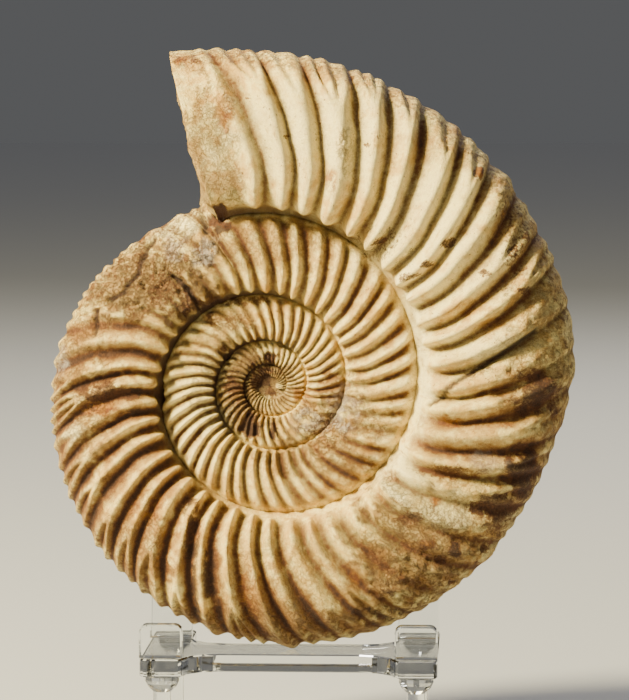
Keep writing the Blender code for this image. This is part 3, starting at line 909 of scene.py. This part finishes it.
# %% [markdown]
# ## The broken mouth
#
# The shell is broken off across its living chamber, and the stone that fills it shows there as a
# rough tan face. Rings that shrink from the lip to the middle of the face make it. They bulge out
# a little near the seam, so a sliver of the face shows from the front.

# %% The mouth's rings
MOUTH_RINGS = 16
# Rings lie closer together near the lip.
RING_POWER = 1.6
# The bulge is highest at the seam, rises from the lip and sinks towards the middle of the face.
MOUTH_BULGE = 1.6 * MM
BULGE_POWER = 1.2
BULGE_RISE = 0.10
BULGE_LOSS, BULGE_LOSS_FROM = 0.6, 0.2
MOUTH_ROUGH, MOUTH_GRAIN = 0.8 * MM, 4 * MM
ROUGH_RISE = 0.15
# How far the lip's ribs are evened out: growth rows to each side, and by which ring.
EVENED_ROWS = 6
EVENED_BY = 0.3


def mouth_rings(lip, lip_share):
    """Rings from the middle of the face out to the lip."""
    middle = lip.mean(axis=0)
    forward = np.array([-math.sin(MOUTH_ANGLE), 0.0, math.cos(MOUTH_ANGLE)])
    shifts = range(-EVENED_ROWS, EVENED_ROWS + 1)
    evened = sum(np.roll(lip, shift, axis=0) for shift in shifts) / len(shifts)
    rings = []
    for step in range(MOUTH_RINGS, 0, -1):
        inward = (step / MOUTH_RINGS) ** RING_POWER
        outline = lip + (evened - lip) * smooth(inward, 0.0, EVENED_BY)
        ring = outline + (middle - outline) * inward
        bulge = MOUTH_BULGE * (1.0 - lip_share) ** BULGE_POWER * smooth(inward, 0.0, BULGE_RISE)
        bulge = bulge * (1.0 - BULGE_LOSS * smooth(inward, BULGE_LOSS_FROM, 1.0))
        rough = MOUTH_ROUGH * rugged(ring, MOUTH_GRAIN, 5, 5.0)
        rough = rough * smooth(inward, 0.0, ROUGH_RISE)
        rings.append(ring + forward * (bulge + rough)[:, None])
    return np.stack(rings)


# %% [markdown]
# ## Building the two pieces
#
# The last turn and the turns inside it are two pieces, because each gets its own fineness: ribs
# near the middle are only 1 mm apart. They meet under the mouth, where the growth line of turn 1
# belongs to both. Past the innermost turn the hidden side closes on a small hub.

# %% The points of a whole tube
LAST_TURN = 4.35


def tube_grid(turn, flank_rows, rim_rows):
    """Points and material values of a whole tube, lines by rows."""
    shares = row_shares(turn, flank_rows, rim_rows)
    front, front_values = half_skin(turn, shares, FRONT)
    back, back_values = half_skin(turn, shares, BACK)
    innermost = line_inside(turn) > LAST_TURN
    hidden = hidden_side(turn, front[:, 0], back[:, 0], innermost)
    grid = np.concatenate([front, back[:, -2::-1], hidden], axis=1)
    values = {"broken": np.zeros(grid.shape[:2])}
    for name, front_value in front_values.items():
        rest = np.repeat(back_values[name][:, :1], hidden.shape[1], axis=1)
        values[name] = np.concatenate([front_value, back_values[name][:, -2::-1], rest], axis=1)
    return grid, values


# %% The faces of a tube
MERGE_DISTANCE = 1e-6


def tube_piece(name, grid, values):
    """Makes the grid's faces with the grid operator and puts its points in place."""
    lines, rows = grid.shape[:2]
    bm = bmesh.new()
    bmesh.ops.create_grid(bm, x_segments=lines - 1, y_segments=rows, size=1.0)
    piece = new_piece(name, bm)
    mesh = piece.data
    flat = np.empty(len(mesh.vertices) * 3, np.float32)
    mesh.vertices.foreach_get("co", flat)
    flat = flat.reshape(-1, 3)
    line = np.rint((flat[:, 0] + 1.0) / 2 * (lines - 1)).astype(int)
    row = np.rint((flat[:, 1] + 1.0) / 2 * rows).astype(int) % rows
    mesh.vertices.foreach_set("co", grid[line, row].astype(np.float32).ravel())
    for value_name, value in values.items():
        attribute = mesh.attributes.new(value_name, "FLOAT", "POINT")
        attribute.data.foreach_set("value", value[line, row].astype(np.float32))
    close_tube(mesh)
    mesh.shade_smooth()
    print(name, len(mesh.vertices), "points,", len(mesh.polygons), "faces")
    return piece


def close_tube(mesh):
    """Joins the tube along its length, closes its ends and turns its faces outwards."""
    bm = bmesh.new()
    bm.from_mesh(mesh)
    bmesh.ops.remove_doubles(bm, verts=bm.verts, dist=MERGE_DISTANCE)
    open_edges = [edge for edge in bm.edges if edge.is_boundary]
    bmesh.ops.holes_fill(bm, edges=open_edges, sides=0)
    bmesh.ops.recalc_face_normals(bm, faces=bm.faces)
    bm.to_mesh(mesh)
    bm.free()


# %% The last turn, with the broken mouth
LINES_PER_RIB = 18
OUTER_ROWS = (42, 15)
BROKEN_FACE = {"broken": 1.0, "worn": 0.6, "crust": 0.5, "dull_and_shade": 0.5, "share": 0.5, "iron": 0.4}

outer_grid, outer_values = tube_grid(growth_lines(0.0, 1.0, LINES_PER_RIB), *OUTER_ROWS)
rings = mouth_rings(outer_grid[0], outer_values["share"][0])
outer_grid = np.concatenate([rings, outer_grid])
for name, value in outer_values.items():
    on_face = np.full((len(rings), value.shape[1]), BROKEN_FACE.get(name, 0.0))
    outer_values[name] = np.concatenate([on_face, value])
outer_turn = tube_piece("outer_turn", outer_grid, outer_values)

# %% The turns inside
INNER_ROWS = (36, 4)
# Up to which turn, with how many growth lines to a rib: further in the ribs are small.
INNER_LINES = ((2.0, 12), (3.0, 7), (LAST_TURN, 5))

inner_start = 1.0
inner_parts = []
for end, per_rib in INNER_LINES:
    part = growth_lines(inner_start, end, per_rib)
    inner_parts.append(part if not inner_parts else part[1:])
    inner_start = end
inner_grid, inner_values = tube_grid(np.concatenate(inner_parts), *INNER_ROWS)
inner_turns = tube_piece("inner_turns", inner_grid, inner_values)

# %% [markdown]
# ## Standing the shell in its place
#
# The shell leans back by 5 degrees on the stand's two rests and is turned a little about the
# upright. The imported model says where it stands, so the new pieces are turned as it is and then
# moved into its box.

# %% Turn the shell
LEAN = math.radians(5.0)
YAW = math.radians(1.7)

turned = Matrix.Rotation(-LEAN, 4, "X") @ Matrix.Rotation(-YAW, 4, "Z")
turned_points = []
for piece in (outer_turn, inner_turns):
    piece.data.transform(turned)
    flat = np.empty(len(piece.data.vertices) * 3, np.float32)
    piece.data.vertices.foreach_get("co", flat)
    turned_points.append(flat.reshape(-1, 3))
everything = np.concatenate(turned_points)
low, high = everything.min(axis=0), everything.max(axis=0)
print("fine shell", (high - low) / MM, "packed", [round(s / MM, 2) for s in shell_high - shell_low])

# %% Place the shell
move = Vector((
    (shell_low.x + shell_high.x - low[0] - high[0]) / 2,
    (shell_low.y + shell_high.y - low[1] - high[1]) / 2,
    shell_low.z - low[2],
))
print("the coil's middle is at", [round(c / MM, 2) for c in move])
for piece in (outer_turn, inner_turns):
    piece.data.transform(Matrix.Translation(move))
    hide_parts("ammonite")
    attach(piece, "root")

# %% [markdown]
# ## The stone
#
# Cream stone with iron rust in it: rust settles in the valleys between the ribs, and the valleys,
# hollows and the seam are also painted darker as painted shade. Spots of orange and near black sit
# where the shell was broken, and fine pits are darker than the rest. The values on the points say
# where, and noise in object space breaks them up. A small class keeps the many nodes readable: a
# sum, a product or a stain takes one line each.

# %% Helpers for node materials


class Nodes:
    """Adds nodes to a material."""

    def __init__(self, material):
        material.use_nodes = True
        self.tree = material.node_tree
        self.shader = self.tree.nodes["Principled BSDF"]

    def add(self, kind, **settings):
        node = self.tree.nodes.new(kind)
        for name, value in settings.items():
            setattr(node, name, value)
        return node

    def put(self, socket, value):
        if isinstance(value, bpy.types.NodeSocket):
            self.tree.links.new(value, socket)
        else:
            socket.default_value = value

    def maths(self, operation, first, second=0.0, clamp=False):
        node = self.add("ShaderNodeMath", operation=operation, use_clamp=clamp)
        self.put(node.inputs[0], first)
        self.put(node.inputs[1], second)
        return node.outputs[0]

    def times(self, first, second):
        return self.maths("MULTIPLY", first, second)

    def plus(self, first, second, clamp=False):
        return self.maths("ADD", first, second, clamp)

    def largest(self, first, second):
        return self.maths("MAXIMUM", first, second)

    def swing(self, value, strength):
        """Makes a noise swing about 0, by a strength."""
        return self.times(self.maths("SUBTRACT", value, 0.5), strength)

    def attribute(self, name):
        return self.add("ShaderNodeAttribute", attribute_name=name).outputs["Fac"]

    def shifted(self, where, distance):
        """The same place in metres, moved along all three axes, for a pattern of its own."""
        node = self.add("ShaderNodeVectorMath", operation="ADD")
        self.put(node.inputs[0], where)
        node.inputs[1].default_value = (distance, distance, distance)
        return node.outputs["Vector"]

    def noise(self, where, size, detail=3.0, roughness=0.55):
        node = self.add("ShaderNodeTexNoise")
        self.put(node.inputs["Vector"], where)
        node.inputs["Scale"].default_value = 1.0 / size
        node.inputs["Detail"].default_value = detail
        node.inputs["Roughness"].default_value = roughness
        return node.outputs["Fac"]

    def between(self, value, start, end):
        """Runs smoothly from 0 at start to 1 at end."""
        node = self.add("ShaderNodeMapRange", interpolation_type="SMOOTHSTEP")
        self.put(node.inputs["Value"], value)
        node.inputs["From Min"].default_value = start
        node.inputs["From Max"].default_value = end
        return node.outputs["Result"]

    def mix(self, amount, under, over):
        node = self.add("ShaderNodeMix", data_type="RGBA")
        self.put(node.inputs["Factor"], amount)
        self.put(node.inputs["A"], under)
        self.put(node.inputs["B"], over)
        return node.outputs["Result"]

    def stain(self, under, amount, strength, over):
        """Lays a colour over another by an amount, made weaker by a strength."""
        return self.mix(self.times(amount, strength), under, over)


# %% The stone's colours


def linear(value):
    """A picture's value from 0 to 255 as light."""
    share = value / 255
    return ((share + 0.055) / 1.055) ** 2.4 if value > 10 else share / 12.92


def colour(red, green, blue):
    return (linear(red), linear(green), linear(blue), 1.0)


WHITE_IVORY = colour(253, 241, 180)
IVORY = colour(246, 226, 150)
CREAM = colour(228, 193, 108)
SAND = colour(188, 144, 74)
DUN = colour(118, 86, 44)
OLIVE = colour(104, 80, 36)
BROWN = colour(98, 54, 15)
WARM_TAN = colour(140, 96, 38)
SEAM_BROWN = colour(66, 36, 12)
UMBER = colour(44, 20, 5)
OCHRE = colour(198, 144, 48)
DEEP_OCHRE = colour(156, 102, 24)
RUST = colour(112, 58, 14)
PINK = colour(196, 150, 96)
LILAC_GREY = colour(172, 162, 150)
BROKEN_TAN = colour(150, 116, 62)

# %% [markdown]
# ### What the stone's colours share
#
# Noises of several sizes, from clouds as big as a thumb down to grains, are made once and used by
# all the stains, so that their edges agree. Streaks along the ribs come from the number of the
# rib and the height share, because growth lines follow the ribs.

# %% Shared patterns
LEAST_ROUGH, RIM_ROUGH = 0.20, 0.6
STREAKS_PER_RIB, STREAKS_ALONG = 3.5, 5.0


def add_patterns(nodes):
    """Puts the noises and values that colours and relief share into the helper."""
    where = nodes.add("ShaderNodeTexCoord").outputs["Object"]
    nodes.where = where
    nodes.broad = nodes.noise(where, 13 * MM)
    nodes.other = nodes.noise(nodes.shifted(where, 0.31), 9 * MM)
    nodes.blotchy = nodes.noise(nodes.shifted(where, 0.77), 5 * MM, 5.0, 0.62)
    nodes.patchy = nodes.noise(where, 2.6 * MM, 6.0, 0.70)
    nodes.mottled = nodes.noise(nodes.shifted(where, 0.17), 1.5 * MM, 5.0, 0.72)
    nodes.grainy = nodes.noise(where, 0.6 * MM, 4.0, 0.75)
    nodes.uneven = nodes.swing(nodes.mottled, 0.6)
    nodes.gritty = nodes.swing(nodes.grainy, 0.9)
    nodes.regional = nodes.swing(nodes.blotchy, 1.5)
    nodes.torn = nodes.plus(nodes.uneven, nodes.gritty)
    ridges = nodes.noise(nodes.shifted(where, 0.41), 1.3 * MM, 6.0, 0.6)
    nodes.jagged = nodes.maths("ABSOLUTE", nodes.maths("SUBTRACT", ridges, 0.5))
    nodes.on_rim = nodes.between(nodes.attribute("share"), 0.78, 0.97)
    rough = nodes.largest(nodes.attribute("crust"), nodes.attribute("dull_and_shade"))
    rough = nodes.largest(rough, nodes.attribute("worn"))
    rough = nodes.largest(rough, nodes.times(nodes.on_rim, RIM_ROUGH))
    rough = nodes.times(rough, 1.0 - LEAST_ROUGH)
    nodes.rough_place = nodes.plus(LEAST_ROUGH, rough, clamp=True)
    grown = nodes.add("ShaderNodeCombineXYZ")
    nodes.put(grown.inputs["X"], nodes.times(nodes.attribute("growth"), STREAKS_PER_RIB))
    nodes.put(grown.inputs["Y"], nodes.times(nodes.attribute("share"), STREAKS_ALONG))
    nodes.streaky = nodes.noise(grown.outputs["Vector"], 1.0, 4.0, 0.65)


# %% [markdown]
# ### Clean stone
#
# Under all stains the stone is ivory, cream and sand in patches, with clouds of ochre and pink. It
# is darker in some places, partly as duller stone and partly as painted shade, bleached in others,
# and faintly streaked along the ribs.

# %% Clean stone


def clean_stone(nodes):
    patchy, blotchy, pale = nodes.patchy, nodes.blotchy, nodes.attribute("pale")
    tint = nodes.mix(nodes.between(patchy, 0.38, 0.64), IVORY, CREAM)
    sandy = nodes.maths("SUBTRACT", nodes.between(blotchy, 0.44, 0.60), pale, clamp=True)
    tint = nodes.stain(tint, sandy, 0.6, SAND)
    ochre = nodes.times(nodes.between(nodes.broad, 0.50, 0.66), nodes.between(blotchy, 0.42, 0.6))
    tint = nodes.stain(tint, ochre, 0.55, OCHRE)
    pink = nodes.times(nodes.between(nodes.other, 0.50, 0.64), nodes.between(patchy, 0.42, 0.58))
    tint = nodes.stain(tint, pink, 0.25, PINK)
    # Dun places: partly duller stone, partly painted shade.
    dull_and_shade = nodes.plus(nodes.attribute("dull_and_shade"), nodes.times(nodes.regional, 0.35))
    tint = nodes.stain(tint, nodes.between(dull_and_shade, 0.15, 0.95), 0.80, DUN)
    bleached = nodes.times(pale, nodes.between(patchy, 0.34, 0.52))
    tint = nodes.stain(tint, bleached, 0.8, WHITE_IVORY)
    tint = nodes.stain(tint, nodes.between(nodes.streaky, 0.52, 0.70), 0.45, SAND)
    return nodes.stain(tint, nodes.between(nodes.streaky, 0.62, 0.70), 0.4, BROWN)


# %% [markdown]
# ### Stains and painted shade in the valleys
#
# Every valley is painted olive: this is painted shade. Where there is iron, it spreads as tan over
# the flanks of the ribs. Towards the bottom of the valleys the colour gets browner, up to a brown
# that is nearly black: this is partly iron rust and partly painted shade.

# %% Valley stains
# Each stage: where it starts and is full, as depth plus iron, then its strength and colour.
IRON_AND_SHADE_STAGES = ((0.76, 1.14, 0.90, BROWN), (1.04, 1.32, 0.85, UMBER))


def valley_stains_and_shade(nodes, tint):
    deep = nodes.plus(nodes.uneven, nodes.times(nodes.gritty, 0.4))
    deep = nodes.plus(nodes.attribute("valley"), deep)
    nodes.deep = deep
    # Painted shade: every valley turns olive.
    tint = nodes.stain(tint, nodes.between(deep, 0.25, 0.95), 0.80, OLIVE)
    iron = nodes.plus(nodes.attribute("iron"), nodes.times(nodes.regional, 0.55), clamp=True)
    reach = nodes.plus(deep, nodes.times(iron, 0.40))
    tint = nodes.stain(tint, nodes.between(reach, 0.15, 0.80), nodes.times(iron, 0.9), WARM_TAN)
    # Painted shade and rust: deeper in the valleys the colour turns brown and then nearly black.
    for start, full, strength, over in IRON_AND_SHADE_STAGES:
        tint = nodes.stain(tint, nodes.between(reach, start, full), strength, over)
    return tint


# %% [markdown]
# ### Marks
#
# Over these come the marks that have a place of their own: near black valleys and grime, partly
# stains and partly painted shade in hollows; specks, rusty orange and lilac places, dirt in worn
# stone and on the rim; the seam, painted dark as painted shade; and the dark lines of cracks.

# %% Marks
# Each torn mark: its value, how far noise tears its edge, and its stages as above.
TORN_MARKS = (
    # Grime is partly painted shade in hollows and under the mouth's foot.
    ("grime_and_shade", 1.8, ((0.15, 0.55, 0.75, BROWN), (0.45, 1.05, 0.85, UMBER))),
    ("spot", 1.7, ((0.50, 0.70, 0.80, BROWN), (0.72, 1.05, 0.85, UMBER))),
)
DARK_TEAR = 1.6
# The seam's brown is painted shade.
PLAIN_MARKS = (("seam", 0.95, SEAM_BROWN), ("crack", 0.92, UMBER), ("broken", 0.5, BROKEN_TAN))


def marks(nodes, tint):
    patchy, mottled = nodes.patchy, nodes.mottled
    # Near black in deep valleys: partly a stain, partly painted shade in hollows.
    dark = nodes.plus(nodes.attribute("dark"), nodes.times(nodes.torn, DARK_TEAR))
    dark = nodes.times(nodes.between(dark, 0.30, 0.80), nodes.between(nodes.deep, 0.0, 0.55))
    tint = nodes.stain(tint, dark, 0.85, UMBER)
    for name, tear, stages in TORN_MARKS:
        amount = nodes.plus(nodes.attribute(name), nodes.times(nodes.torn, tear))
        for start, full, strength, over in stages:
            tint = nodes.stain(tint, nodes.between(amount, start, full), strength, over)
    orange = nodes.times(nodes.attribute("orange"), nodes.between(patchy, 0.36, 0.56))
    rusty = nodes.mix(nodes.between(mottled, 0.4, 0.6), DEEP_OCHRE, RUST)
    tint = nodes.mix(orange, tint, rusty)
    lilac = nodes.times(nodes.attribute("lilac"), nodes.between(patchy, 0.36, 0.54))
    tint = nodes.stain(tint, lilac, 0.85, LILAC_GREY)
    dirt_and_shade = nodes.times(nodes.attribute("worn"), nodes.between(patchy, 0.50, 0.60))
    tint = nodes.stain(tint, dirt_and_shade, 0.7, BROWN)
    rim = nodes.between(nodes.plus(mottled, nodes.uneven), 0.50, 0.66)
    tint = nodes.stain(tint, nodes.times(nodes.on_rim, rim), 0.7, BROWN)
    for name, strength, over in PLAIN_MARKS:
        tint = nodes.stain(tint, nodes.attribute(name), strength, over)
    return tint


# %% [markdown]
# ### Creases, pores and relief
#
# Creases, pores and small rusty specks are darker than the rest. The same noises make a fine bump,
# which is stronger in rough places.

# %% Creases, pores and specks


def pores_and_specks(nodes, tint):
    creases = nodes.between(nodes.jagged, 0.035, 0.0)
    tint = nodes.stain(tint, creases, nodes.times(nodes.rough_place, 0.65), BROWN)
    tint = nodes.stain(tint, nodes.between(nodes.grainy, 0.37, 0.28), 0.5, BROWN)
    specks = nodes.noise(nodes.shifted(nodes.where, 0.53), 0.9 * MM, 3.0, 0.6)
    in_clouds = nodes.between(nodes.blotchy, 0.45, 0.60)
    specks = nodes.times(nodes.between(specks, 0.64, 0.69), in_clouds)
    return nodes.stain(tint, specks, 0.8, BROWN)


# %% Fine relief
BUMP_DISTANCE = 0.55 * MM


def fine_relief(nodes):
    fine = nodes.noise(nodes.where, 0.35 * MM, 3.0, 0.6)
    relief = nodes.plus(nodes.times(nodes.grainy, 0.6), nodes.times(fine, 0.3))
    relief = nodes.plus(relief, nodes.times(nodes.mottled, 0.25))
    relief = nodes.plus(relief, nodes.times(nodes.streaky, 0.7))
    sunk = nodes.times(nodes.between(nodes.jagged, 0.06, 0.0), nodes.rough_place)
    broken_up = nodes.times(nodes.maths("SUBTRACT", nodes.patchy, sunk), nodes.rough_place)
    relief = nodes.plus(relief, nodes.times(broken_up, 0.9))
    bump = nodes.add("ShaderNodeBump")
    bump.inputs["Strength"].default_value = 1.0
    bump.inputs["Distance"].default_value = BUMP_DISTANCE
    nodes.put(bump.inputs["Height"], relief)
    return bump.outputs["Normal"]


# %% The stone
stone = bpy.data.materials.new("fossil_stone")
nodes = Nodes(stone)
add_patterns(nodes)
tint = pores_and_specks(nodes, marks(nodes, valley_stains_and_shade(nodes, clean_stone(nodes))))
nodes.put(nodes.shader.inputs["Base Color"], tint)
matt = nodes.plus(0.58, nodes.times(nodes.grainy, 0.35))
nodes.put(nodes.shader.inputs["Roughness"], matt)
nodes.put(nodes.shader.inputs["Normal"], fine_relief(nodes))
for piece in (outer_turn, inner_turns):
    piece.data.materials.append(stone)
print("the stone has", len(stone.node_tree.nodes), "nodes")

# %% [markdown]
# ## The clear stand
#
# Acrylic is clear plastic with a refractive index of 1.49. Its edges are polished, so they catch
# the light as thin bright lines. The stand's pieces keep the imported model's shapes.

# %% The clear acrylic
clear = plain_material("clear_acrylic", (0.96, 0.975, 0.97), 0.03)
clear_shader = clear.node_tree.nodes["Principled BSDF"]
clear_shader.inputs["Transmission Weight"].default_value = 1.0
clear_shader.inputs["IOR"].default_value = 1.49
for name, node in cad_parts.items():
    if name != "ammonite":
        node.data.materials.clear()
        node.data.materials.append(clear)
        print(name, "is clear")

# %% Sizes
low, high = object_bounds()
